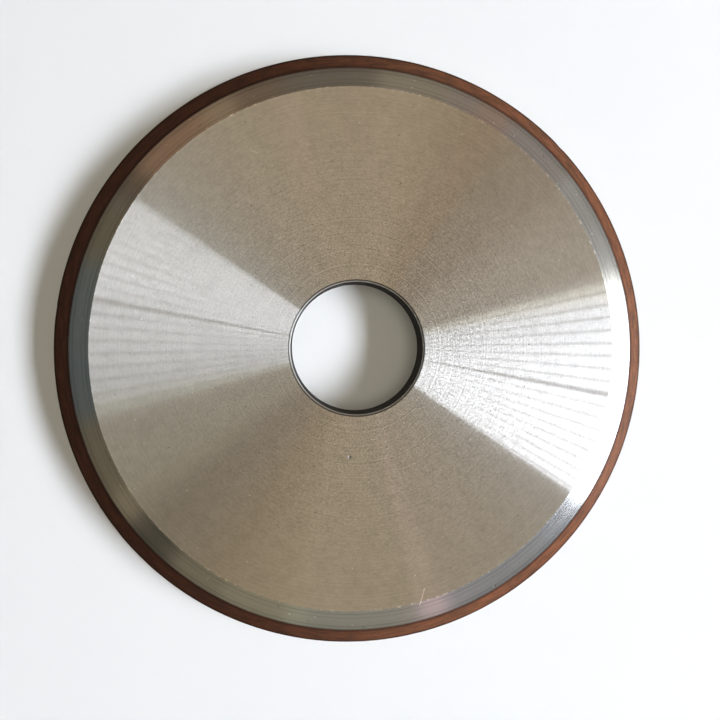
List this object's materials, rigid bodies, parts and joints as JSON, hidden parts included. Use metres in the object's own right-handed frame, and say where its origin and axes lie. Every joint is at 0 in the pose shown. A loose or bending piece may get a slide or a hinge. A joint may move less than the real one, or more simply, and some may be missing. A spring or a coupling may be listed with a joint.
{
  "type": "diamond grinding wheel",
  "caption": "Flat steel disc with a plain arbor bore, a shallow shoulder bevel and a steep conical rim of brown resin-bond diamond, thinning to the outer edge.",
  "frame": {"origin": "on the wheel's axis, in the plane of its flat back face", "axes": "+Z along the wheel's axis, out of the bevelled front face; the punch dot lies near -Y"},
  "size_m": [0.15, 0.15, 0.01],
  "materials": {
    "turned_steel": "bare steel, fine turned, with concentric tool marks",
    "backing_bond": "filled phenolic resin without diamond, ground flush",
    "diamond_bond": "brown phenolic resin filled with fine diamond grit, ground"
  },
  "bodies": {
    "root": {"steel_core": "turned_steel", "backing_ring": "backing_bond", "diamond_rim": "diamond_bond"}
  },
  "joints": []
}
